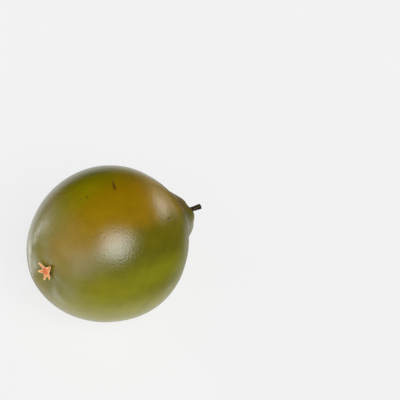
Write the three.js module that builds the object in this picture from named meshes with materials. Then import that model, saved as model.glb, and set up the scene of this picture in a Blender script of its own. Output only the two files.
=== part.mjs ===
// A quince lying on its side: one solid fruit, its woody stem and the dried calyx with its
// sepals, styles and stamens. Millimetres, +Z up, +X towards the stem.
// The origin is the middle of the small flat spot that the fruit rests on.

import * as THREE from 'three';

const degree = Math.PI / 180;

// ---- driving dimensions ----

// The skin is a distance from the fruit's centre, for the angle "down" from the stem end and
// the angle "round" the axis (0 towards +Y, 90 degrees straight up before the neck dips).
const fruit = {
  halfLength: 41.5, // body without its neck
  waistRadius: 38.3,
  neckHeight: 17.8, // how far the neck stands beyond the body
  neckSpread: 0.308, // radians from the axis
  lobeHeight: 2.4, // the neck's shoulder under the stem
  lobeSpread: 0.182,
  lobeTurn: -84 * degree,
  furrowDepth: 0.6, // five creases that run down from the stem
  furrowTurn: 7.5 * degree,
  ribHeight: 0.48, // five soft ribs round the waist
  ribTurn: -12 * degree,
  ovalHeight: 0.53, // the waist is slightly oval
  ovalTurn: 44 * degree,
  socketDepth: 3, // narrow hole that holds the stem
  socketSpread: 0.046,
  crownDip: 3.6, // dimple round the stem
  crownSpread: 0.1,
  calyxTilt: 2.5 * degree, // the calyx stands this far off the axis, on the side of calyxTurn
  calyxTurn: 133 * degree,
  shoulderHeight: 0.85, // raised ring round the calyx
  knobHeight: 0.25, // and its five knobs
  knobTurn: 23 * degree,
  shoulderSpread: 0.317,
  basinDepth: 2, // hollow that the calyx sits in
  basinSpread: 0.22,
};

const rest = {
  dip: 16.4 * degree, // the neck hangs down by this when the fruit lies at rest
  centreHeight: 37.9, // the fruit's centre above the flat spot
  centreBack: -1.6, // and behind its middle, so the weight is over it
  softness: 0.3, // height over which the skin eases into the flat spot
};

const stem = {
  length: 15,
  radius: 1.3,
  cutRadius: 1.45,
  droop: -1.4, // of its cut end
  clearance: 0.45, // to the bottom of its hole
};

const cup = {
  radius: 2.1,
  wall: 0.4,
  height: 0.8,
  floor: 0.3,
  lift: 0.5, // its underside above the bottom of the basin
};

const sepals = {
  root: 2.45, // from the calyx axis to where a sepal starts
  rootWidth: 1.9,
  tipWidth: 1.0,
  thickness: 0.5,
  lift: 0.35, // clear of the skin
  curl: 0.45, // how far the tip stands up
  trough: 0.22, // how far the edges stand up
  leaves: [
    { turn: 18, reach: 5.2, sway: 0.25 },
    { turn: 121, reach: 5.4, sway: -0.1 },
    { turn: 212, reach: 4.2, sway: 0.1 },
    { turn: 270, reach: 4.8, sway: -0.15 },
    { turn: 324, reach: 5.1, sway: 0.3 },
  ],
};

const styles = { count: 5, ring: 0.62, radius: 0.2, length: 1.7, lean: 0.12, clearance: 0.15 };
const stamens = { count: 10, ring: 1.3, radius: 0.14, length: 1.3, lean: -0.16, clearance: 0.15 };

// ---- materials ----

function finish(colour, roughness) {
  return new THREE.MeshStandardMaterial({ color: colour, roughness, metalness: 0 });
}

const skinFinish = finish('#7a6f14', 0.4);
const stemFinish = finish('#33241a', 0.85);
const sepalFinish = finish('#e79a63', 0.7);
const cupFinish = finish('#c8693f', 0.75);
const threadFinish = finish('#8a4a2a', 0.85);

// ---- the skin's formula ----

const bump = (angle, spread) => Math.exp(-((angle / spread) ** 2));
const ring = (angle, spread) => (angle / spread) ** 2 * Math.exp(1 - (angle / spread) ** 2);

const outwards = (down, round) =>
  new THREE.Vector3(
    Math.cos(down),
    Math.sin(down) * Math.cos(round),
    Math.sin(down) * Math.sin(round),
  );
const calyxFacing = outwards(Math.PI - fruit.calyxTilt, fruit.calyxTurn);

// Distance from the fruit's centre to its skin.
function skinRadius(down, round) {
  const f = fruit;
  const fromCalyx = outwards(down, round).sub(calyxFacing);
  const up = 2 * Math.asin(Math.min(1, fromCalyx.length() / 2));
  const knobs = Math.cos(5 * (Math.atan2(fromCalyx.z, fromCalyx.y) - f.knobTurn));
  const girth = Math.sin(down) ** 2;
  const body = 1 / Math.hypot(Math.cos(down) / f.halfLength, Math.sin(down) / f.waistRadius);
  const ribs = f.ribHeight * Math.cos(5 * (round - f.ribTurn));
  const oval = f.ovalHeight * Math.cos(2 * (round - f.ovalTurn));
  const neck = f.neckHeight * bump(down, f.neckSpread);
  const lobe = f.lobeHeight * Math.cos(round - f.lobeTurn);
  const furrows = f.furrowDepth * Math.cos(5 * (round - f.furrowTurn));
  const crown = f.crownDip * bump(down, f.crownSpread);
  const socket = f.socketDepth * bump((down / f.socketSpread) ** 3, 1);
  const shoulder = f.shoulderHeight + f.knobHeight * knobs;
  const basin = f.basinDepth * bump(up, f.basinSpread);
  const stemEnd = neck + ring(down, f.lobeSpread) * (lobe + furrows) - crown - socket;
  const calyxEnd = ring(up, f.shoulderSpread) * shoulder - basin;
  return body + girth * (ribs + oval) + stemEnd + calyxEnd;
}

// A point on the skin, or lifted off it, in the fruit's own axes: +X along its axis to the stem.
function onSkin(down, round, lift = 0) {
  return outwards(down, round).multiplyScalar(skinRadius(down, round) + lift);
}

// ---- mesh helpers ----

// A closed body from rings of points and a point at each end, with its faces pointing out.
function closedBody(first, rings, last) {
  const sides = rings[0].length;
  const points = [first, ...rings.flat(), last];
  const faces = [];
  const at = (row, side) => 1 + row * sides + (side % sides);
  for (let side = 0; side < sides; side++) {
    faces.push(0, at(0, side), at(0, side + 1));
    for (let row = 0; row + 1 < rings.length; row++) {
      faces.push(at(row, side), at(row + 1, side), at(row + 1, side + 1));
      faces.push(at(row, side), at(row + 1, side + 1), at(row, side + 1));
    }
    faces.push(at(rings.length - 1, side), points.length - 1, at(rings.length - 1, side + 1));
  }
  const geometry = new THREE.BufferGeometry().setFromPoints(points);
  geometry.setIndex(faces);
  geometry.computeVertexNormals();
  return geometry;
}

// Equal steps from one number to another, the first left out, and equal turns round a circle.
const counted = (count, value) => Array.from({ length: count }, (_, i) => value(i));
const steps = (from, to, count) => counted(count, (i) => from + ((to - from) * (i + 1)) / count);
const turns = (count) => counted(count, (i) => (2 * Math.PI * i) / count);

function named(name, geometry, material) {
  const mesh = new THREE.Mesh(geometry, material);
  mesh.name = name;
  return mesh;
}

// ---- the fruit ----

// The fruit's axes in the row: its centre above the flat spot, its neck dipping.
const axes = new THREE.Group();
axes.position.set(rest.centreBack, 0, rest.centreHeight);
axes.rotation.y = rest.dip;
axes.updateMatrix();

// Height above the ground, with the skin eased into a flat spot at zero.
function seated(height) {
  if (height >= rest.softness) return height;
  if (height <= -rest.softness) return 0;
  return (height + rest.softness) ** 2 / (4 * rest.softness);
}

function makeFruit() {
  const rows = [
    ...steps(0, 0.02, 1),
    ...steps(0.02, 0.05, 6),
    ...steps(0.05, 0.4, 11),
    ...steps(0.4, 2.7, 26),
    ...steps(2.7, Math.PI - 0.05, 8),
  ];
  const place = (point) => {
    point.applyMatrix4(axes.matrix);
    return point.setZ(seated(point.z));
  };
  const around = turns(72);
  const rings = rows.map((down) => around.map((round) => place(onSkin(down, round))));
  return closedBody(place(onSkin(0, 0)), rings, place(onSkin(Math.PI, 0)));
}

// ---- the stem ----

// A round stalk along a drooping line, a little thicker at its cut end.
function makeStem() {
  const foot = onSkin(0, 0, stem.clearance).x;
  const line = (t) => new THREE.Vector3(foot + stem.length * t, 0, stem.droop * t);
  const swelling = (t) => (stem.cutRadius - stem.radius) * bump(1 - t, 0.3);
  const ringAt = (t) =>
    turns(20).map((turn) => {
      const radius = stem.radius + swelling(t) + 0.05 * Math.cos(3 * turn + 2 * t);
      return line(t).add(new THREE.Vector3(0, radius * Math.cos(turn), radius * Math.sin(turn)));
    });
  return closedBody(line(1), steps(1.125, 0, 9).map(ringAt), line(0));
}

// ---- the calyx ----

// Where the calyx stands: at the bottom of the basin, its own +Z pointing out of the fruit.
const calyxGroup = new THREE.Group();
calyxGroup.position.copy(onSkin(Math.PI - fruit.calyxTilt, fruit.calyxTurn));
calyxGroup.quaternion.setFromUnitVectors(new THREE.Vector3(0, 0, 1), calyxFacing);

// A point over the skin near the calyx, from its distances along the calyx group's Y and X.
function nearCalyx(y, x, lift) {
  const depth = fruit.halfLength - fruit.basinDepth;
  const facing = new THREE.Vector3(x, y, depth).applyQuaternion(calyxGroup.quaternion);
  return onSkin(Math.atan2(Math.hypot(facing.y, facing.z), facing.x), Math.atan2(facing.z, facing.y), lift);
}

// A shallow round dish, open outwards.
function makeCup() {
  const inner = cup.radius - cup.wall;
  const outline = [
    [0, 0],
    [cup.radius * 0.85, 0],
    [cup.radius, cup.height * 0.4],
    [cup.radius - cup.wall * 0.3, cup.height],
    [inner, cup.height],
    [inner * 0.9, cup.floor],
    [0, cup.floor],
  ].map(([x, y]) => new THREE.Vector2(x, y));
  const dish = new THREE.LatheGeometry(outline, 40);
  dish.rotateX(Math.PI / 2);
  dish.translate(0, 0, cup.lift);
  return dish;
}

// A narrow boat-shaped leaf that follows the basin out from the cup and curls up at its tip.
function makeSepal({ turn, reach, sway }) {
  const s = sepals;
  const ringAt = (t) => {
    const along = s.root + (reach - s.root) * t;
    const blunt = Math.sqrt(Math.max(0, 1 - (2 * t - 1) ** 16));
    const halfWidth = (blunt * (s.rootWidth + (s.tipWidth - s.rootWidth) * t ** 0.6)) / 2;
    const lift = s.lift + s.thickness / 2 + s.curl * t * t;
    return turns(12).map((angle) => {
      const across = halfWidth * Math.cos(angle) + sway * t * t;
      const height = (blunt * s.thickness * Math.sin(angle)) / 2 + s.trough * Math.cos(angle) ** 2;
      const y = along * Math.cos(turn * degree) - across * Math.sin(turn * degree);
      const x = along * Math.sin(turn * degree) + across * Math.cos(turn * degree);
      return nearCalyx(y, x, lift + height);
    });
  };
  const middle = (t) => ringAt(t).reduce((sum, point) => sum.add(point)).divideScalar(12);
  return closedBody(middle(0), steps(0, 1, 12).slice(0, -1).map(ringAt), middle(1));
}

// A dried thread that stands in the cup at one place of a ring and leans out or in.
function makeThread(kind, turn) {
  const floor = cup.lift + cup.floor + kind.clearance;
  const line = (t) => {
    const out = kind.ring + kind.lean * kind.length * t * t;
    return new THREE.Vector3(out * Math.cos(turn), out * Math.sin(turn), floor + kind.length * t);
  };
  const ringAt = (t) => {
    const radius = kind.radius * (1 - 0.35 * t);
    return turns(8).map((angle) =>
      line(t).add(new THREE.Vector3(radius * Math.cos(angle), radius * Math.sin(angle), 0)),
    );
  };
  return closedBody(line(1), steps(1.25, 0, 5).map(ringAt), line(0));
}

// ---- assembly ----

const quince = new THREE.Group();
quince.name = 'quince';
quince.add(named('fruit', makeFruit(), skinFinish), axes);
axes.add(named('stem', makeStem(), stemFinish), calyxGroup);
sepals.leaves.forEach((leaf, i) => axes.add(named(`sepal_${i + 1}`, makeSepal(leaf), sepalFinish)));
calyxGroup.add(named('calyx_cup', makeCup(), cupFinish));

for (const [name, kind] of Object.entries({ style: styles, stamen: stamens })) {
  turns(kind.count).forEach((turn, i) =>
    calyxGroup.add(named(`${name}_${i + 1}`, makeThread(kind, turn), threadFinish)),
  );
}

export default quince;
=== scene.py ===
import math

import bpy
import numpy as np
from mathutils import Matrix, Vector


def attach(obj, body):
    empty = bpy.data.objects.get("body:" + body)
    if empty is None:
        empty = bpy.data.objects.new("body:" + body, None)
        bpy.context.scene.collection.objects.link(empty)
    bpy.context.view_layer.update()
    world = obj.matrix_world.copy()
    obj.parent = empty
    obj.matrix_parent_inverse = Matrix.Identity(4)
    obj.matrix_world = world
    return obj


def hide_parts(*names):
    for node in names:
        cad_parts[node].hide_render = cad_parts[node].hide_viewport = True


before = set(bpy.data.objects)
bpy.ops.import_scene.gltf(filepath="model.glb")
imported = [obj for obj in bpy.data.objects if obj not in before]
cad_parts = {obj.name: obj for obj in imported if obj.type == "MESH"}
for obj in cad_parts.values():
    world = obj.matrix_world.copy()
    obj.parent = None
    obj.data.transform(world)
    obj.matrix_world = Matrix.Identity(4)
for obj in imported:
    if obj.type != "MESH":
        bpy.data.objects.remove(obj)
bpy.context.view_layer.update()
mm = 0.001  # in metres, the scene's own unit
print("frame loaded:", len(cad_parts), "nodes")

# The skin is a distance from the fruit's centre for two angles: down from the stem end of its axis,
# and turn about the axis, 0 towards +Y and a quarter turn upwards.
fruitForm = {
    "halfLength": 41.5,  # mm, the body without its neck
    "waistRadius": 38.3,
    "neckHeight": 17.8,
    "neckSpread": 0.308,  # radians from the axis
    "lobeHeight": 2.4,  # the neck's shoulder under the stem
    "lobeSpread": 0.182,
    "lobeTurn": math.radians(-84),
    "furrowDepth": 0.6,
    "furrowTurn": math.radians(7.5),
    "ribHeight": 0.48,
    "ribTurn": math.radians(-12),
    "ovalHeight": 0.53,
    "ovalTurn": math.radians(44),
    "crownDip": 3.6,  # dimple round the stem
    "crownSpread": 0.1,
    "calyxTilt": math.radians(2.5),  # how far off the axis the calyx stands, on the side of calyxTurn
    "calyxTurn": math.radians(133),
    "shoulderHeight": 0.85,  # raised ring round the calyx
    "shoulderSpread": 0.317,
    "knobHeight": 0.25,
    "knobTurn": math.radians(23),
    "basinDepth": 2.0,
    "basinSpread": 0.22,
    "dip": math.radians(16.4),  # how far the neck hangs down as it lies
    "centre": (-1.6, 0.0, 37.9),  # mm, above the middle of the flat spot
    "flatSoftness": 0.3,
    "rows": 304,
    "crowding": 0.85,  # how much closer the rows lie at both ends, 0 to 1
    "sides": 320,
}

# Low relief on top of the form. Lumps are (turns, waves, mm, phase), dents (down, turn, mm wide, mm deep)
# with their angles in degrees; folds and the crease have mm and radians.
skinRelief = {
    "lumps": [
        (3, 2.2, 0.16, 0.4),
        (4, 3.1, 0.11, 2.1),
        (6, 4.3, 0.07, 4.0),
        (9, 6.7, 0.04, 1.2),
        (13, 9.0, 0.02, 5.0),
    ],
    "neckFolds": {"count": 9, "depth": 0.24, "spread": 0.2},
    "basinFolds": {"count": 11, "depth": 0.12, "spread": 0.15},
    "crease": {"down": math.radians(47), "spread": 0.11, "step": 0.25, "turn": math.radians(145), "grip": 3},
    "dents": [
        (97, 91, 1.6, 0.12),
        (64, -20, 3.2, 0.25),
        (105, 250, 2.6, 0.2),
        (128, 20, 2.2, 0.14),
        (80, 190, 3.0, 0.2),
    ],
}


# exp(-(angle / spread)^2)
def bump(angle, spread):
    return np.exp(-((angle / spread) ** 2))


# a ring-shaped swelling that is 1 at angle = spread: (angle / spread)^2 exp(1 - (angle / spread)^2)
def ring(angle, spread):
    return (angle / spread) ** 2 * np.exp(1 - (angle / spread) ** 2)


# unit vector (cos down, sin down cos turn, sin down sin turn)
def facing(down, turn):
    return np.stack([np.cos(down), np.sin(down) * np.cos(turn), np.sin(down) * np.sin(turn)], -1)


calyxFacing = facing(np.pi - fruitForm["calyxTilt"], fruitForm["calyxTurn"])


# angle between a direction and the calyx's, 2 asin(half the distance between their unit vectors), and the
# turn about it
def calyxAngles(down, turn):
    away = facing(down, turn) - calyxFacing
    up = 2 * np.arcsin(np.minimum(np.linalg.norm(away, axis=-1) / 2, 1))
    return up, np.arctan2(away[..., 2], away[..., 1])


# an ellipse through waist and half length, with ribs and an oval that fade towards the poles, the neck's bump
# with its lobe and furrows, less the dimple, and at the calyx a raised ring with knobs, less the basin
def skinRadius(down, turn):
    f = fruitForm
    up, around = calyxAngles(down, turn)
    body = 1 / np.hypot(np.cos(down) / f["halfLength"], np.sin(down) / f["waistRadius"])
    ribs = f["ribHeight"] * np.cos(5 * (turn - f["ribTurn"]))
    oval = f["ovalHeight"] * np.cos(2 * (turn - f["ovalTurn"]))
    neck = f["neckHeight"] * bump(down, f["neckSpread"]) - f["crownDip"] * bump(down, f["crownSpread"])
    lobe = f["lobeHeight"] * np.cos(turn - f["lobeTurn"])
    furrows = f["furrowDepth"] * np.cos(5 * (turn - f["furrowTurn"]))
    shoulder = f["shoulderHeight"] + f["knobHeight"] * np.cos(5 * (around - f["knobTurn"]))
    basin = f["basinDepth"] * bump(up, f["basinSpread"])
    stemEnd = neck + ring(down, f["lobeSpread"]) * (lobe + furrows)
    calyxEnd = ring(up, f["shoulderSpread"]) * shoulder - basin
    return body + np.sin(down) ** 2 * (ribs + oval) + stemEnd + calyxEnd


# sum of mm sin(turns turn + phase) sin(waves down) sin(down), less folds |sin(count turn / 2)| that fan out
# from each end, less a step x exp(-x^2) across the neck's foot that is strongest at one turn, less a bump
# exp(-(distance / width)^2) for each dent
def lowRelief(down, turn):
    height = np.zeros_like(down)
    for turns, waves, size, phase in skinRelief["lumps"]:
        height += size * np.sin(turns * turn + phase + down) * np.sin(waves * down) * np.sin(down)
    for folds, away, around in (
        (skinRelief["neckFolds"], down, turn),
        (skinRelief["basinFolds"], *calyxAngles(down, turn)),
    ):
        wave = np.abs(np.sin(folds["count"] / 2 * around + 0.7 * np.sin(around + 1)))
        height -= folds["depth"] * ring(away, folds["spread"]) * wave
    crease = skinRelief["crease"]
    across = (down - crease["down"]) / crease["spread"]
    fading = np.exp(crease["grip"] * (np.cos(turn - crease["turn"]) - 1))
    height -= crease["step"] * across * np.exp(-(across**2)) * fading
    for dentDown, dentTurn, width, depth in skinRelief["dents"]:
        near = facing(down, turn) @ facing(np.radians(dentDown), np.radians(dentTurn))
        height -= depth * np.exp(2 * (near - 1) * (fruitForm["waistRadius"] / width) ** 2)
    return height


# a point of the skin, or lifted off it, in mm in the fruit's own axes, +X along its axis to the stem
def onSkin(down, turn, lift=0):
    return facing(down, turn) * np.asarray(skinRadius(down, turn) + lift)[..., None]


# fruit axes in mm to the row frame in metres: turned by the dip about Y and moved to the centre
def inRow(points):
    c = math.cos(fruitForm["dip"])
    s = math.sin(fruitForm["dip"])
    x, y, z = np.moveaxis(np.asarray(points, float), -1, 0)
    return (np.stack([x * c + z * s, y, z * c - x * s], -1) + fruitForm["centre"]) * mm


# heights eased into the flat spot: 0 below -s, (h + s)^2 / 4s up to s, and h above
def seated(points):
    s = fruitForm["flatSoftness"] * mm
    h = points[..., 2]
    eased = np.where(h >= s, h, np.where(h <= -s, 0, (h + s) ** 2 / (4 * s)))
    return np.concatenate([points[..., :2], eased[..., None]], -1)


# A closed piece from a grid of rings, rows x sides x 3 in metres, and a point at each end. The rings run
# counter-clockwise about the direction from last to first, so the faces point out. Its UV map is (turn, row),
# both as shares of the whole.
def closedPiece(name, first, rings, last):
    rows, sides = rings.shape[:2]
    points = np.concatenate([first[None], rings.reshape(-1, 3), last[None]])
    row, side = np.meshgrid(np.arange(rows - 1), np.arange(sides), indexing="ij")
    ends = np.arange(sides)
    zero = np.zeros(sides, int)

    def at(r, s):
        return 1 + r * sides + s % sides

    walls = np.stack([at(row, side), at(row + 1, side), at(row + 1, side + 1), at(row, side + 1)], -1)
    top = np.stack([zero, at(0, ends), at(0, ends + 1)], -1)
    bottom = np.stack([at(rows - 1, ends), zero + len(points) - 1, at(rows - 1, ends + 1)], -1)
    corners = np.concatenate([walls.ravel(), top.ravel(), bottom.ravel()])
    counts = np.concatenate([np.full(walls.size // 4, 4), np.full(2 * sides, 3)])
    mesh = bpy.data.meshes.new(name)
    mesh.vertices.add(len(points))
    mesh.vertices.foreach_set("co", points.astype(np.float32).ravel())
    mesh.loops.add(len(corners))
    mesh.loops.foreach_set("vertex_index", corners.astype(np.int32))
    mesh.polygons.add(len(counts))
    mesh.polygons.foreach_set("loop_start", (np.cumsum(counts) - counts).astype(np.int32))
    mesh.polygons.foreach_set("use_smooth", np.ones(len(counts), bool))
    mesh.update(calc_edges=True)
    u = [np.stack([side, side, side + 1, side + 1], -1), np.stack([ends, ends, ends + 1], -1)]
    v = [np.stack([row, row + 1, row + 1, row], -1), np.stack([zero, zero, zero], -1)]
    across = np.concatenate([u[0].ravel(), u[1].ravel(), u[1].ravel()]) / sides
    along = np.concatenate([v[0].ravel(), v[1].ravel(), v[1].ravel() + rows - 1]) / (rows - 1)
    shares = np.stack([across, along], -1).astype(np.float32)
    mesh.uv_layers.new(name="shares").data.foreach_set("uv", shares.ravel())
    return added(name, mesh)


# a new object for a mesh or a camera, at the origin of the scene
def added(name, data):
    thing = bpy.data.objects.new(name, data)
    bpy.context.scene.collection.objects.link(thing)
    return thing


# gives a piece its material and its body, and hides the node it stands for
def dress(piece, material, node):
    piece.data.materials.append(material)
    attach(piece, "root")
    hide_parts(node)


# count angles evenly round a turn, from 0
def turnsOf(count):
    return np.arange(count) * 2 * np.pi / count


# One output of a material's node. Maths on it adds Math nodes; node() adds any other node to the same tree.
class Wire:
    def __init__(self, tree, output=None):
        self.tree = tree
        self.output = output

    def node(self, kind, settings=None, sockets=None, out=0):
        made = self.tree.nodes.new(kind)
        for name, value in (settings or {}).items():
            if name == "stops":
                while len(made.color_ramp.elements) < len(value):
                    made.color_ramp.elements.new(0.5)
                for element, (place, colour) in zip(made.color_ramp.elements, value):
                    element.position = place
                    element.color = colour
            else:
                setattr(made, name, value)
        for name, value in (sockets or {}).items():
            if isinstance(value, Wire):
                self.tree.links.new(value.output, made.inputs[name])
            else:
                made.inputs[name].default_value = value
        return Wire(self.tree, None if out is None else made.outputs[out])

    def math(self, operation, *values):
        return self.node("ShaderNodeMath", {"operation": operation}, dict(enumerate(values)))

    def vector(self, operation, *values, out=0):
        return self.node("ShaderNodeVectorMath", {"operation": operation}, dict(enumerate(values)), out)

    def __add__(self, other):
        return self.math("ADD", self, other)

    def __radd__(self, other):
        return self.math("ADD", other, self)

    def __sub__(self, other):
        return self.math("SUBTRACT", self, other)

    def __rsub__(self, other):
        return self.math("SUBTRACT", other, self)

    def __mul__(self, other):
        return self.math("MULTIPLY", self, other)

    def __rmul__(self, other):
        return self.math("MULTIPLY", other, self)

    def __truediv__(self, other):
        return self.math("DIVIDE", self, other)

    def __rtruediv__(self, other):
        return self.math("DIVIDE", other, self)

    def __pow__(self, other):
        return self.math("POWER", self, other)

    def __rpow__(self, other):
        return self.math("POWER", other, self)


# 0 below low, 1 above high and a smooth step between
def stepped(value, low, high):
    return value.node("ShaderNodeMapRange", {"interpolation_type": "SMOOTHSTEP"}, {0: value, 1: low, 2: high})


# colour a where share is 0 and colour b where it is 1, joined in the Mix node's way that blend names
def mixed(share, a, b, blend="MIX"):
    owner = next(value for value in (share, a, b) if isinstance(value, Wire))
    return owner.node("ShaderNodeMix", {"data_type": "RGBA", "blend_type": blend}, {0: share, 6: a, 7: b}, 2)


# a vector times a number
def scaled(vector, number):
    owner = vector if isinstance(vector, Wire) else number
    return owner.node("ShaderNodeVectorMath", {"operation": "SCALE"}, {0: vector, "Scale": number})


# the x, y and z of a vector
def parts(vector):
    first = vector.node("ShaderNodeSeparateXYZ", {}, {0: vector})
    return [Wire(vector.tree, socket) for socket in first.output.node.outputs]


# fine noise about 0.5 over a vector; size is how far apart its features are
def noise(place, size, detail=2.0, rough=0.5, out="Fac"):
    sockets = {"Vector": place, "Scale": 1 / size, "Detail": detail, "Roughness": rough}
    return place.node("ShaderNodeTexNoise", {}, sockets, out)


# sRGB 0..255 numbers as a linear colour
def tint(red, green, blue):
    share = [c / 255 for c in (red, green, blue)]
    return (*[c / 12.92 if c <= 0.04045 else ((c + 0.055) / 1.055) ** 2.4 for c in share], 1)


# a new material and a wire into its empty tree
def startMaterial(name):
    material = bpy.data.materials.new(name)
    material.use_nodes = True
    material.node_tree.nodes.clear()
    return material, Wire(material.node_tree)


# a Principled surface; height is in mm and steady holds what is the same all over
def closeMaterial(wire, colour, rough, height, steady):
    normal = wire.node("ShaderNodeBump", {}, {"Height": height, "Strength": 1, "Distance": mm})
    sockets = {"Base Color": colour, "Roughness": rough, "Normal": normal, **steady}
    shader = wire.node("ShaderNodeBsdfPrincipled", {}, sockets)
    wire.node("ShaderNodeOutputMaterial", {}, {"Surface": shader}, None)


# a piece's own UV map, as its share round the turn and its share along the rows
def uvShares(wire):
    return parts(wire.node("ShaderNodeTexCoord", {}, {}, "UV"))[:2]


# mm in the fruit's own axes, from Object coordinates; scale stretches a pattern along each axis
def fruitAxes(wire, scale=(1, 1, 1)):
    place = wire.node("ShaderNodeTexCoord", {}, {}, "Object")
    centre = [c * mm for c in fruitForm["centre"]]
    sizes = [mm * s for s in scale]
    sockets = {"Vector": place, "Location": centre, "Rotation": (0, fruitForm["dip"], 0), "Scale": sizes}
    return wire.node("ShaderNodeMapping", {"vector_type": "TEXTURE"}, sockets)


# The skin's colours go round the axis as a ramp of (turn in degrees, colour), fade to one tone at each end
# and carry soft oval patches, each (down, turn, long, wide, lean of the long side from the meridian, colour,
# strength), with the angles in degrees. Every colour is the paint before streaks and mottling change it.
skin = {
    "round": [
        (-180, tint(122, 120, 0)),
        (-168, tint(127, 125, 0)),
        (-140, tint(134, 131, 6)),
        (-100, tint(136, 128, 12)),
        (-60, tint(124, 112, 8)),
        (-25, tint(108, 106, 4)),
        (20, tint(112, 114, 4)),
        (64, tint(122, 116, 0)),
        (80, tint(136, 124, 0)),
        (95, tint(147, 116, 0)),
        (110, tint(153, 118, 0)),
        (124, tint(142, 110, 0)),
        (137, tint(102, 94, 0)),
        (150, tint(93, 90, 0)),
        (163, tint(109, 108, 0)),
        (172, tint(121, 119, 0)),
        (180, tint(122, 120, 0)),
    ],
    "calyxEnd": (tint(121, 107, 4), 34, 0.72),  # colour, spread in degrees and strength
    "stemEnd": (tint(122, 108, 16), 24, 0.85),
    "patches": {
        "blush": (84, 105, 20, 12, 0, tint(158, 118, 0), 0.7),
        "blushEdge": (74, 112, 10, 12, 0, tint(162, 130, 22), 0.6),
        "rimGreen": (98, 70, 12, 7, 10, tint(112, 113, 0), 0.8),
        "topYellow": (116, 80, 12, 7, 0, tint(144, 131, 0), 0.6),
        "limeBand": (94, 166, 19, 7, 0, tint(124, 123, 0), 0.7),
        "neckTan": (56, 106, 14, 22, 0, tint(190, 157, 40), 0.6),
        "neckOlive": (52, 150, 14, 14, 0, tint(122, 116, 22), 0.6),
        "calyxGreen": (165, 176, 14, 14, 0, tint(97, 100, 4), 0.75),
        "rimTan": (128, 50, 16, 12, 0, tint(138, 115, 6), 0.6),
        "calyxTan": (165, 136, 7, 8, 0, tint(146, 126, 30), 0.5),
        # painted reflection: a narrow grey streak of lamp light laid into the skin's colour beside the calyx
        "greyDown": (164, -146, 8, 2.3, -18, tint(145, 142, 110), 0.9),
        # painted highlight: a pale rim glint laid into the skin's colour below the calyx
        "rimDown": (167, -12, 3.5, 9, 0, tint(172, 169, 145), 0.8),
        "lowerOlive": (88, -179, 20, 6, 0, tint(98, 95, 0), 0.6),
        "lowTan": (152, 128, 14, 16, 0, tint(132, 108, 8), 0.6),
        "farBlush": (92, -48, 30, 18, 0, tint(150, 118, 0), 0.7),
        "farGreen": (70, 15, 22, 16, 10, tint(100, 106, 2), 0.6),
    },
    "warp": 0.13,  # how far the colours' edges wander, in radians
    "warpSize": 16,  # mm
    "tone": 0.99,  # how bright the paint is, and how much each pattern changes that
    "streaks": 0.38,
    "mottling": 0.32,
    "clouds": 0.2,
    "streakSize": 0.12,  # across, as a share of the fruit's radius
    "mottlingSize": 5,  # mm
    "cloudSize": 12,
    "russetSpread": 7,  # degrees round the stem
    "russetSize": 1.6,  # mm
    "basinSpread": 4.6,  # degrees round the calyx
    "freckleSpacing": 3.1,  # mm
    "scar": ((95.5, 87.7), (99.4, 94.6), 0.25, 0.75),  # from, to as (down, turn), half widths in mm
    # down, turn and radius in mm
    "specks": [
        (118.9, 87.2, 0.5),
        (122.5, 84.9, 0.3),
        (74.4, 132.8, 0.72),
        (63, -40, 0.5),
        (120, -60, 0.6),
        (100, 10, 0.4),
        (84, -110, 0.45),
    ],
    "speckColour": tint(50, 44, 10),
    "scarColour": tint(98, 60, 2),
    "russet": tint(112, 84, 36),
    "basinShade": tint(58, 46, 12),
    "poreSize": 0.9,  # mm
    "poreDepth": 0.073,
    "grainSize": 0.5,
    "grainDepth": 0.038,
    "russetDepth": 0.06,
    "freckleDepth": 0.02,
    "scarDepth": 0.08,
    # the gloss of clean skin, and what each pattern adds to it
    "roughness": {"clean": 0.26, "mottling": 0.06, "scar": 0.05, "russet": 0.2, "basin": 0.25},
    "steady": {"IOR": 1.7},
}


# distance in mm from a place to the line between two points of the skin, and how far along it in 0..1
def alongLine(place, start, end):
    a = Vector(onSkin(*np.radians(start)))
    b = Vector(onSkin(*np.radians(end)))
    fromStart = place.vector("SUBTRACT", place, a)
    reach = place.vector("DOT_PRODUCT", fromStart, (b - a) / (b - a).length_squared, out="Value")
    share = place.node("ShaderNodeClamp", {}, {"Value": reach, "Min": 0.0, "Max": 1.0})
    return place.vector("DISTANCE", fromStart, scaled(b - a, share), out="Value"), share


# exp(-(a / long)^2 - (b / wide)^2) for the angles a and b of a direction from the middle of an oval
def oval(toward, down, turn, long, wide, lean=0):
    down, turn, lean = np.radians((down, turn, lean))
    south = Vector((-np.sin(down), np.cos(down) * np.cos(turn), np.cos(down) * np.sin(turn)))
    east = Vector((0, -np.sin(turn), np.cos(turn)))
    along = south * np.cos(lean) + east * np.sin(lean)
    across = east * np.cos(lean) - south * np.sin(lean)
    a = toward.vector("DOT_PRODUCT", toward, along / math.radians(long), out="Value")
    b = toward.vector("DOT_PRODUCT", toward, across / math.radians(wide), out="Value")
    front = toward.vector("DOT_PRODUCT", toward, Vector(facing(down, turn)), out="Value")
    shape = toward.math("EXPONENT", 0 - a * a - b * b)
    return shape * toward.math("GREATER_THAN", front, 0.0)


# the ripe skin's ground colour, with a painted reflection and a painted highlight among its patches, over a
# direction that has been bent a little by noise
def groundColour(roaming):
    _, y, z = parts(roaming)
    turn = roaming.math("ARCTAN2", z, y) * (0.5 / math.pi) + 0.5
    stops = [(angle / 360 + 0.5, paint) for angle, paint in skin["round"]]
    colour = turn.node("ShaderNodeValToRGB", {"stops": stops}, {"Fac": turn}, "Color")
    for end, down in (("calyxEnd", 180), ("stemEnd", 0)):
        paint, spread, strength = skin[end]
        colour = mixed(oval(roaming, down, 0, spread, spread) * strength, colour, paint)
    for down, around, long, wide, lean, paint, strength in skin["patches"].values():
        colour = mixed(oval(roaming, down, around, long, wide, lean) * strength, colour, paint)
    return colour


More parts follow.
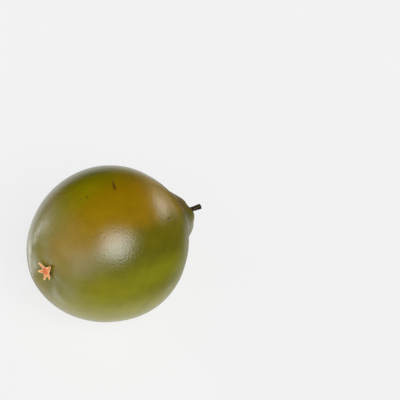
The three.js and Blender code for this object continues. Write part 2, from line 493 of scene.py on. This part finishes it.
# the ripe skin: ground colour, then streaks, mottling, russet, the dark basin, pores, freckles and blemishes
def skinMaterial():
    material, wire = startMaterial("quinceSkin")
    place = fruitAxes(wire)
    toward = place.vector("NORMALIZE", place)
    wander = place.vector("SUBTRACT", noise(place, skin["warpSize"], 3, 0.55, "Color"), (0.5, 0.5, 0.5))
    roaming = place.vector("NORMALIZE", place.vector("ADD", toward, scaled(wander, 2 * skin["warp"])))
    colour = groundColour(roaming)

    # streaks run from stem to calyx and fade towards both, mottling and clouds lie over them
    x, y, z = parts(toward)
    girth = (y * y + z * z) ** 0.5
    slack = girth + 0.02  # never 0, as it divides
    meridian = place.node("ShaderNodeCombineXYZ", {}, {0: x * 0.8, 1: y / slack, 2: z / slack})
    streaks = (noise(meridian, skin["streakSize"], 4, 0.6) - 0.5) * skin["streaks"] * girth
    mottling = noise(place, skin["mottlingSize"], 4, 0.6) - 0.5
    clouds = (noise(place, skin["cloudSize"], 2, 0.5) - 0.5) * skin["clouds"]
    value = skin["tone"] + streaks + mottling * skin["mottling"] + clouds
    shade = place.node("ShaderNodeCombineColor", {}, {0: value, 1: value, 2: value})
    colour = mixed(1.0, colour, shade, "MULTIPLY")

    # russet in the stem's dimple, dark in the calyx basin
    crown = oval(toward, 0, 0, skin["russetSpread"], skin["russetSpread"])
    russet = stepped(noise(place, skin["russetSize"], 4, 0.7) + crown * 0.75, 0.72, 1.0)
    colour = mixed(russet * 0.8, colour, skin["russet"])
    calyx = np.degrees((np.pi - fruitForm["calyxTilt"], fruitForm["calyxTurn"]))
    basin = oval(toward, *calyx, skin["basinSpread"], skin["basinSpread"])
    colour = mixed(stepped(basin, 0.35, 0.8) * 0.9, colour, skin["basinShade"])

    # pores sunk in the skin and faint freckles
    poreScale = {"Vector": place, "Scale": 1 / skin["poreSize"]}
    pores = place.node("ShaderNodeTexVoronoi", {"feature": "SMOOTH_F1"}, poreScale)
    freckles = place.node("ShaderNodeTexVoronoi", {}, {"Vector": place, "Scale": 1 / skin["freckleSpacing"]})
    freckle = 1 - stepped(freckles, 0.05, 0.12)
    colour = mixed(freckle * 0.25, colour, skin["speckColour"])

    # one torn scar with a russet halo, wider towards its end
    ragged = (noise(place, 0.9, 3, 0.7) - 0.5) * 0.5
    start, end, narrow, wide = skin["scar"]
    away, share = alongLine(place, start, end)
    torn = away + ragged * 1.8 - (narrow + share * (wide - narrow))
    scar = 1 - stepped(torn, -0.35, 0.25)
    colour = mixed((1 - stepped(torn, -0.2, 0.9)) * 0.3, colour, skin["russet"])
    colour = mixed(scar * 0.8, colour, skin["scarColour"])

    # dark specks with ragged edges
    dark = 0
    for down, around, radius in skin["specks"]:
        middle = Vector(onSkin(*np.radians((down, around))))
        far = place.vector("DISTANCE", place, middle, out="Value") + ragged * 0.4
        dark = dark + (1 - stepped(far, radius * 0.5, radius * 1.5))
    colour = mixed(dark * 0.8, colour, skin["speckColour"])

    grain = noise(place, skin["grainSize"], 2, 0.6)
    sunk = freckle * skin["freckleDepth"] + scar * skin["scarDepth"] + dark * skin["scarDepth"]
    raised = pores * skin["poreDepth"] + grain * skin["grainDepth"] + russet * grain * skin["russetDepth"]
    gloss = skin["roughness"]
    rough = gloss["clean"] + mottling * gloss["mottling"] + scar * gloss["scar"]
    rough = rough + russet * gloss["russet"] + basin * gloss["basin"]
    closeMaterial(wire, colour, rough, raised - sunk, skin["steady"])
    return material


# the skin's radius and its low relief over rows pi (share - crowding sin(2 pi share) / 2 pi) from end to end,
# seated on its flat spot
def makeFruit():
    share = np.arange(1, fruitForm["rows"]) / fruitForm["rows"]
    rows = np.pi * (share - fruitForm["crowding"] * np.sin(2 * np.pi * share) / (2 * np.pi))
    down, turn = np.meshgrid(rows, turnsOf(fruitForm["sides"]), indexing="ij")
    rings = seated(inRow(facing(down, turn) * (skinRadius(down, turn) + lowRelief(down, turn))[..., None]))
    ends = inRow([onSkin(0.0, 0.0), onSkin(np.pi, 0.0)])
    piece = closedPiece("quinceFlesh", ends[0], rings, ends[1])
    dress(piece, skinMaterial(), "fruit")


makeFruit()
print("fruit made")

# The stalk's line runs straight from foot, in the flesh, and droops evenly towards its cut end.
stalk = {
    "foot": 53.15,  # mm along the axis
    "length": 15.0,
    "droop": -1.4,
    "buried": 0.1,  # share of its length that is sunk below the foot
    "radius": 1.3,
    "cutSwell": 0.15,
    "cutLean": 0.5,  # mm along the stalk for each mm across the slanting cut, shorter on the side at cutTurn
    "cutTurn": math.radians(133),
    "collar": (0.17, 0.06, 0.35),  # where it leaves the flesh, how long and how thick the collar is
    "ridges": [(5, 0.07, 1.2, 0.3), (9, 0.04, -1.7, 1.1), (3, 0.05, 2.0, 0.0)],  # count, mm, twist, phase
    "knots": [(0.42, 0.8, 0.1), (0.66, 3.9, 0.09), (0.83, 2.2, 0.07)],  # share along, turn, mm
    "knotLength": 0.035,  # share of the stalk's length
    "faceShare": 0.16,  # of the rows lie on the cut face
    "hollow": 0.16,  # mm, how far the cut face sinks
    "grooves": 0.12,
    "rounding": 0.1,
    "rows": 150,
    "sides": 96,
    "dark": tint(40, 30, 16),
    "pale": tint(100, 79, 50),
    # near black of the cut end, also used for the painted shade on one side of the stalk
    "cut": tint(20, 16, 8),
    "paintedShadeTurn": math.radians(223),  # the side painted darkest, as painted shade
    "collarColour": tint(88, 72, 26),
    "collarEnds": (56.2, 58),  # mm along the axis, where the collar's colour fades
    "endDarkens": (1.6, 0.7),  # mm before the cut
    "barkSize": 0.7,  # mm, across the fibres
    "barkDepth": 0.14,
    "fineDepth": 0.04,
    "roughness": 0.8,
    "steady": {"IOR": 1.33},
}


# bark: dark and pale fibres drawn out along the stalk, painted shade on one side, darker at the cut, olive at
# the collar
def stalkMaterial():
    material, wire = startMaterial("stalkWood")
    place = fruitAxes(wire)
    grain = noise(fruitAxes(wire, (6, 1, 1)), stalk["barkSize"], 4, 0.65)
    patchy = noise(place, 1.5, 3, 0.6)
    colour = mixed(stepped(grain + (patchy - 0.5) * 0.5, 0.46, 0.72), stalk["dark"], stalk["pale"])
    turn = uvShares(wire)[0] * (2 * math.pi)
    # painted shade: one side of the stalk darkened towards the cut end's near black
    paintedShade = stepped(wire.math("COSINE", turn - stalk["paintedShadeTurn"]) + (patchy - 0.5) * 0.6, 0.1, 0.9)
    colour = mixed(paintedShade * 0.8, colour, stalk["cut"])
    x = parts(place)[0]
    end = stalk["foot"] + stalk["length"]
    starts, full = (end - before for before in stalk["endDarkens"])
    colour = mixed(stepped(x, starts, full) * 0.85, colour, stalk["cut"])
    bark = stepped(x + (patchy - 0.5) * 1.5, *stalk["collarEnds"])
    colour = mixed(bark, stalk["collarColour"], colour)
    height = grain * stalk["barkDepth"] + noise(place, 0.3, 2, 0.6) * stalk["fineDepth"]
    closeMaterial(wire, colour, stalk["roughness"] + (grain - 0.5) * 0.2, height, stalk["steady"])
    return material


# rings round the line (foot + length t, 0, droop t); the wall's radius has a collar, a swollen end, ridges
# cos(count turn + twist t + phase) and knots, and past the rim the rings close in over a slightly hollow and
# grooved cut face, which slants by lean out cos(turn - cutTurn) t^8
def makeStalk():
    s = stalk
    row, turn = np.meshgrid(np.linspace(0, 1, s["rows"]), turnsOf(s["sides"]), indexing="ij")
    onFace = row < s["faceShare"]
    inwards = np.clip(1 - row / s["faceShare"], 0, 1)
    t = np.where(onFace, 1, 1 - (1 + s["buried"]) * (row - s["faceShare"]) / (1 - s["faceShare"]))
    collarAt, collarSpread, collarSize = s["collar"]
    radius = s["radius"] + s["cutSwell"] * bump(1 - t, 0.3) + collarSize * bump(t - collarAt, collarSpread)
    for count, size, twist, phase in s["ridges"]:
        radius = radius + size * np.cos(count * turn + twist * t + phase)
    for along, around, size in s["knots"]:
        radius = radius + size * bump(t - along, s["knotLength"]) * np.exp(3 * (np.cos(turn - around) - 1))
    hollow = s["hollow"] * (1 - (1 - inwards) ** 8)
    grooves = s["grooves"] * np.sin(inwards * np.pi) * np.cos(4 * turn + 3 * inwards)
    rounding = s["rounding"] * (1 - inwards) ** 6
    sunk = np.where(onFace, hollow - grooves + rounding - s["rounding"], 0)
    out = radius * (1 - inwards)
    slant = s["cutLean"] * out * np.cos(turn - s["cutTurn"]) * t**8
    x = s["foot"] + s["length"] * t - slant - sunk
    rings = np.stack([x, out * np.cos(turn), s["droop"] * t + out * np.sin(turn)], -1)
    last = [s["foot"] - s["length"] * s["buried"], 0, -s["droop"] * s["buried"]]
    piece = closedPiece("stalk", inRow(rings[0].mean(0)), inRow(rings[1:]), inRow(last))
    dress(piece, stalkMaterial(), "stem")


makeStalk()
print("stalk made")

# The calyx frame has its origin at the bottom of the basin and +Z out of the fruit, in mm. The spin turns its
# directions into the fruit's, +Z onto the calyx's own by the shortest way.
calyxSpin = np.array(Vector((0, 0, 1)).rotation_difference(Vector(calyxFacing)).to_matrix())
calyxBottom = onSkin(np.pi - fruitForm["calyxTilt"], fruitForm["calyxTurn"])


# calyx frame to the fruit's axes: spun, then moved to the bottom of the basin
def inCalyx(points):
    return np.asarray(points, float) @ calyxSpin.T + calyxBottom


# a point lifted off the skin near the calyx, for distances along the calyx frame's Y and X
def nearCalyx(y, x, lift):
    depth = fruitForm["halfLength"] - fruitForm["basinDepth"]
    x, y, z = np.moveaxis(np.stack([x, y, np.full_like(x, depth)], -1) @ calyxSpin.T, -1, 0)
    return onSkin(np.arctan2(np.hypot(y, z), x), np.arctan2(z, y), lift)


# The dried flower at the other end is a shallow cup, five sepals and the threads that stand in it.
calyxCup = {
    "lift": 0.5,
    # radius and height from the middle of the floor over the rim to the middle of the underside
    "profile": [
        (0, 1.1),
        (0.9, 1.0),
        (1.4, 0.72),
        (1.72, 0.68),
        (1.95, 0.82),
        (2.1, 0.7),
        (2.05, 0.32),
        (1.6, -0.1),
        (0, -0.1),
    ],
    "scallops": (5, 0.05),  # count, share of the radius
    "ripples": (13, 0.015),
    "rimWaves": (7, 0.03),  # count, mm
    "rows": 60,
    "sides": 96,
    "heart": tint(214, 104, 66),
    "inside": tint(230, 140, 90),
    "rim": tint(250, 180, 118),
    "under": tint(112, 66, 30),
    # where each colour gives way to the next, as shares of the profile
    "heartEnds": (0.02, 0.2),
    "insideEnds": (0.34, 0.46),
    "rimEnds": (0.56, 0.7),
    "fibreSize": 0.5,  # mm
    "fibreDepth": 0.08,
    "roughness": 0.62,
    "steady": {"IOR": 1.4},
}


# dried flesh: heart, inside, rim and underside follow each other along the profile, with darker fibres
def cupMaterial():
    material, wire = startMaterial("calyxFlesh")
    share = uvShares(wire)[1]
    c = calyxCup
    fibres = noise(fruitAxes(wire), c["fibreSize"], 4, 0.65)
    colour = mixed(stepped(share + (fibres - 0.5) * 0.2, *c["heartEnds"]), c["heart"], c["inside"])
    colour = mixed(stepped(share, *c["insideEnds"]), colour, c["rim"])
    colour = mixed(stepped(share, *c["rimEnds"]) * 0.9, colour, c["under"])
    colour = mixed(stepped(fibres, 0.5, 0.75) * 0.3, colour, c["heart"])
    closeMaterial(wire, colour, c["roughness"] + fibres * 0.2, fibres * c["fibreDepth"], c["steady"])
    return material


# the cup's profile carried round the axis, its radius times 1 + size cos(count turn) for the scallops and for
# the ripples, and its rim raised by size cos(count turn)
def makeCup():
    c = calyxCup
    radii, heights = np.transpose(c["profile"])
    knots = np.linspace(0, 1, len(radii))
    row, turn = np.meshgrid(np.linspace(0, 1, c["rows"])[1:-1], turnsOf(c["sides"]), indexing="ij")
    scallops, scallopSize = c["scallops"]
    ripples, rippleSize = c["ripples"]
    waves, waveSize = c["rimWaves"]
    wavy = 1 + scallopSize * np.cos(scallops * turn + 0.6) + rippleSize * np.cos(ripples * turn)
    radius = np.interp(row, knots, radii) * wavy
    waving = waveSize * np.cos(waves * turn + 1) * bump(row - 0.45, 0.2)
    height = c["lift"] + np.interp(row, knots, heights) + waving
    rings = np.stack([radius * np.cos(turn), radius * np.sin(turn), height], -1)
    ends = inRow(inCalyx([(0, 0, c["lift"] + heights[0]), (0, 0, c["lift"] + heights[-1])]))
    piece = closedPiece("calyxCup", ends[0], inRow(inCalyx(rings)), ends[1])
    dress(piece, cupMaterial(), "calyx_cup")


# A sepal is a pinched leaf on the basin's floor, in mm.
sepalForm = {
    "root": 1.5,  # from the calyx axis, so that it overlaps the cup's rim
    "tipWidth": 0.88,
    "taper": 1.7,
    "thickness": 0.4,
    "lift": 0.35,
    "rootRise": 0.5,  # to lie on the rim
    "curl": 0.45,
    "trough": 0.26,
    "waves": 0.06,  # shares of the half width
    "fineWaves": 0.03,
    "blunt": 18,  # the power that rounds both ends
    # turn in degrees, reach, sway and width at the root
    "leaves": [
        (18, 5.2, 0.25, 3.0),
        (121, 5.4, -0.1, 3.3),
        (212, 4.2, 0.1, 3.2),
        (270, 4.8, -0.15, 2.9),
        (324, 5.1, 0.3, 2.6),
    ],
    "rows": 44,
    "sides": 36,
    "edge": tint(250, 210, 148),
    "middle": tint(230, 142, 90),
    "vein": tint(190, 84, 46),
    "under": tint(138, 78, 36),
    "fibreSize": 0.45,  # mm
    "fibreDepth": 0.06,
    "ribDepth": 0.012,
    "roughness": 0.55,
    "steady": {"IOR": 1.4},
}


# dried leaf: pale towards both edges and the tip, veined along its fibres, dark underneath
def sepalMaterial():
    material, wire = startMaterial("driedSepal")
    s = sepalForm
    turn, along = uvShares(wire)
    across = wire.math("COSINE", turn * (2 * math.pi))
    above = wire.math("SINE", turn * (2 * math.pi))
    fibres = noise(fruitAxes(wire), s["fibreSize"], 4, 0.65)
    tip = stepped(along, 0.6, 0.98) * 0.6
    edge = stepped(wire.math("ABSOLUTE", across) + (fibres - 0.5) * 0.25 + tip, 0.45, 0.8)
    colour = mixed(edge, s["middle"], s["edge"])
    colour = mixed(stepped(fibres, 0.55, 0.8) * 0.35, colour, s["vein"])
    colour = mixed((1 - stepped(above, -0.75, -0.1)) * 0.85, colour, s["under"])
    ribs = wire.math("COSINE", across * 14 + fibres * 3)
    height = fibres * s["fibreDepth"] + ribs * s["ribDepth"]
    closeMaterial(wire, colour, s["roughness"] + fibres * 0.2, height, s["steady"])
    return material


# rings round a leaf that follows the basin, rounded at both ends and with wavy edges: across is halfWidth
# cos(angle) + sway t^2, its height over the skin is thickness sin(angle) / 2, raised to both edges by trough
# cos(angle)^2, at the tip by curl t^2 and over the cup's rim
def makeSepals():
    s = sepalForm
    material = sepalMaterial()
    t, angle = np.meshgrid(np.linspace(0, 1, s["rows"] + 1)[1:-1], turnsOf(s["sides"]), indexing="ij")
    for number, (turn, reach, sway, rootWidth) in enumerate(s["leaves"], 1):
        along = s["root"] + (reach - s["root"]) * t
        blunt = np.sqrt(1 - np.abs(2 * t - 1) ** s["blunt"])
        wavy = 1 + s["waves"] * np.sin(7 * t + number) + s["fineWaves"] * np.sin(17 * t + 2 * number)
        width = s["tipWidth"] + (rootWidth - s["tipWidth"]) * (1 - t) ** s["taper"]
        halfWidth = blunt * wavy * width / 2
        lift = s["lift"] + s["thickness"] / 2 + s["curl"] * t**2 + s["rootRise"] * bump(t, 0.25)
        section = s["thickness"] / 2 * blunt * np.sin(angle) * (0.7 + 0.5 * np.abs(np.cos(angle)))
        edges = s["trough"] * np.cos(angle) ** 2 * (1 + 0.25 * np.sin(9 * t + 3 * number + np.cos(angle)))
        across = halfWidth * np.cos(angle) + sway * t**2
        c = math.cos(math.radians(turn))
        d = math.sin(math.radians(turn))
        height = lift + section + edges
        rings = nearCalyx(along * c - across * d, along * d + across * c, height)
        ends = inRow([rings[0].mean(0), rings[-1].mean(0)])
        piece = closedPiece(f"driedSepal{number}", ends[0], inRow(rings), ends[1])
        dress(piece, material, f"sepal_{number}")


# The threads are stubs of styles and stamens on rings round the calyx's axis, in mm.
threadForm = {
    "style": {"count": 5, "ring": 0.62, "radius": 0.2, "length": 1.7, "lean": 0.12},
    "stamen": {"count": 10, "ring": 1.3, "radius": 0.14, "length": 1.3, "lean": -0.16},
    "floor": 0.95,
    "taper": 0.35,  # shares of the radius
    "knob": 0.3,
    "flutes": 0.12,
    "sway": 0.07,
    "rows": 26,
    "sides": 14,
    "root": tint(212, 104, 66),
    "tip": tint(240, 152, 102),
    "fibreSize": 0.3,  # mm
    "fibreDepth": 0.05,
    "roughness": 0.7,
    "steady": {"IOR": 1.4},
}


# dried thread: dark at its foot and pale towards its knob, with a ragged border
def threadMaterial():
    material, wire = startMaterial("driedThread")
    form = threadForm
    along = uvShares(wire)[1]
    fibres = noise(fruitAxes(wire), form["fibreSize"], 3, 0.6)
    colour = mixed(stepped(along + (fibres - 0.5) * 0.5, 0.15, 0.8), form["tip"], form["root"])
    rough = form["roughness"] + fibres * 0.15
    closeMaterial(wire, colour, rough, fibres * form["fibreDepth"], form["steady"])
    return material


# rings of radius (1 - taper t), with a knob near the top and flutes cos(3 angle), round the line out = ring +
# lean length t^2, which sways by sin(3 t) to the side
def makeThreads():
    form = threadForm
    material = threadMaterial()
    t, angle = np.meshgrid(np.linspace(1, 0, form["rows"] + 1)[1:-1], turnsOf(form["sides"]), indexing="ij")
    for kind in ("style", "stamen"):
        thread = form[kind]
        for number, turn in enumerate(turnsOf(thread["count"]), 1):
            out = thread["ring"] + thread["lean"] * thread["length"] * t**2
            sway = form["sway"] * np.sin(3 * t + 2.4 * number)
            rounding = np.sqrt(1 - np.clip(2 * t - 1, 0, 1) ** 14)
            tapered = 1 - form["taper"] * t + form["knob"] * bump(t - 0.9, 0.1)
            fluted = 1 + form["flutes"] * np.cos(3 * angle + 4 * t + number)
            radius = thread["radius"] * tapered * rounding * fluted
            x = out * np.cos(turn) - sway * np.sin(turn) + radius * np.cos(angle)
            y = out * np.sin(turn) + sway * np.cos(turn) + radius * np.sin(angle)
            rings = np.stack([x, y, form["floor"] + thread["length"] * t], -1)
            ends = inRow(inCalyx([rings[0].mean(0) + (0, 0, 0.02), rings[-1].mean(0) - (0, 0, 0.05)]))
            piece = closedPiece(f"{kind}Stub{number}", ends[0], inRow(inCalyx(rings)), ends[1])
            dress(piece, material, f"{kind}_{number}")


makeCup()
makeSepals()
makeThreads()
print("calyx made")

# The camera looks down at the fruit from its calyx side, and leaves it at the lower left.
camera = {
    "azimuth": -45.7,  # degrees
    "elevation": 45.0,
    "lens": 70,
    "away": 388.9,  # mm from the fruit's centre
    "right": -45.16,  # how far the fruit's centre stands from the middle of the view
    "up": -21.875,
    "nearest": 0.01,  # metres, nothing nearer is seen
}


# unit vector of an azimuth (0 is -Y, 90 is +X) and an elevation in degrees
def aimed(azimuth, elevation):
    a = math.radians(azimuth)
    e = math.radians(elevation)
    return Vector((math.sin(a) * math.cos(e), -math.cos(a) * math.cos(e), math.sin(e)))


# level unit vector to the right of someone who looks at the fruit from an azimuth
def sideways(azimuth):
    a = math.radians(azimuth)
    return Vector((math.cos(a), math.sin(a), 0))


# the camera's place is the fruit's centre less its place in the view, and back along the view
def makeCamera():
    back = aimed(camera["azimuth"], camera["elevation"])
    right = sideways(camera["azimuth"])
    up = back.cross(right)
    data = bpy.data.cameras.new("camera")
    data.lens = camera["lens"]
    data.clip_start = camera["nearest"]
    eye = added("camera", data)
    middle = Vector(fruitForm["centre"])
    place = middle - right * camera["right"] - up * camera["up"] + back * camera["away"]
    turned = Matrix((right, up, back)).transposed()
    eye.matrix_world = Matrix.Translation(place * mm) @ turned.to_4x4()
    bpy.context.scene.camera = eye


# Soft lamps far away, each an ellipse of light that is full inside its core and fades to its edge: azimuth,
# elevation, half width and half height in degrees, core as a share of the ellipse, and brightness.
studio = {
    "backdrop": tint(242, 242, 242),
    "lamps": {
        "key": (-11, 43, 30, 38, 0.2, 6.2),
        "window": (-57, 28, 50, 37, 0.0, 1.3),
        "wall": (-117, 2, 84, 77, 0.6, 0.6),
        "strip": (-157, 3, 7, 30, 0.0, 5.0),
        "stripFoot": (-148, -8, 7, 6, 0.2, 5.0),
        "lowPanel": (-165, -33, 15, 16, 0.0, 3.0),
        "backPanel": (156, -23, 38, 28, 0.6, 1.0),
        "edge": (84, 10, 22, 10, 0.4, 3.4),
        "edgeFill": (98, -5, 23, 16, 0.6, 0.5),
        "neckGlow": (112, -43, 18, 8, 0.3, 0.28),
        "table": (-90, -82, 65, 78, 0.3, 0.9),
    },
    "floorRadius": 4.0,  # metres
    "floorSides": 96,
    "floorGlow": 0.752,  # the part of its brightness that takes no shadow
    "floorPaper": 0.18,  # and its own colour, which does
}


# the sum of the lamps, each brightness (1 - smooth step from core to 1 of hypot(x, y)), where x and y are the
# angles from the lamp's middle as shares of its half sizes
def makeStudio():
    world = bpy.data.worlds.new("studio")
    bpy.context.scene.world = world
    world.use_nodes = True
    world.node_tree.nodes.clear()
    wire = Wire(world.node_tree)
    toward = wire.node("ShaderNodeTexCoord", {}, {}, "Generated")
    glow = 0
    for azimuth, elevation, width, height, core, bright in studio["lamps"].values():
        middle = aimed(azimuth, elevation)
        right = sideways(azimuth)
        axes = (middle, right, middle.cross(right))
        ahead, aside, above = (toward.vector("DOT_PRODUCT", toward, axis, out="Value") for axis in axes)
        x = toward.math("ARCTAN2", aside, ahead) * (1 / math.radians(width))
        y = toward.math("ARCTAN2", above, ahead) * (1 / math.radians(height))
        glow = (1 - stepped((x * x + y * y) ** 0.5, core, 1.0)) * bright + glow
    lit = toward.node("ShaderNodeCombineColor", {}, {0: glow, 1: glow, 2: glow})
    seen = toward.node("ShaderNodeLightPath", {}, {}, "Is Camera Ray")
    shader = wire.node("ShaderNodeBackground", {}, {"Color": mixed(seen, lit, studio["backdrop"])})
    wire.node("ShaderNodeOutputWorld", {}, {"Surface": shader}, None)


# a round sheet at height 0 that glows evenly and takes a soft shadow
def makeFloor():
    turn = turnsOf(studio["floorSides"])
    rim = np.stack([np.cos(turn), np.sin(turn), 0 * turn], -1) * studio["floorRadius"]
    mesh = bpy.data.meshes.new("floor")
    mesh.from_pydata(rim.tolist(), [], [list(range(len(rim)))])
    floor = added("floor", mesh)
    floor.visible_glossy = False
    material, wire = startMaterial("paleFloor")
    plain = wire.node("ShaderNodeEmission", {}, {"Color": (1, 1, 1, 1), "Strength": studio["floorGlow"]})
    paper = wire.node("ShaderNodeBsdfDiffuse", {}, {"Color": (*[studio["floorPaper"]] * 3, 1)})
    blend = wire.node("ShaderNodeAddShader", {}, {0: paper, 1: plain})
    wire.node("ShaderNodeOutputMaterial", {}, {"Surface": blend}, None)
    mesh.materials.append(material)


makeCamera()
makeStudio()
makeFloor()
print("camera, lamps and floor made")
bpy.context.scene.view_settings.view_transform = "Standard"
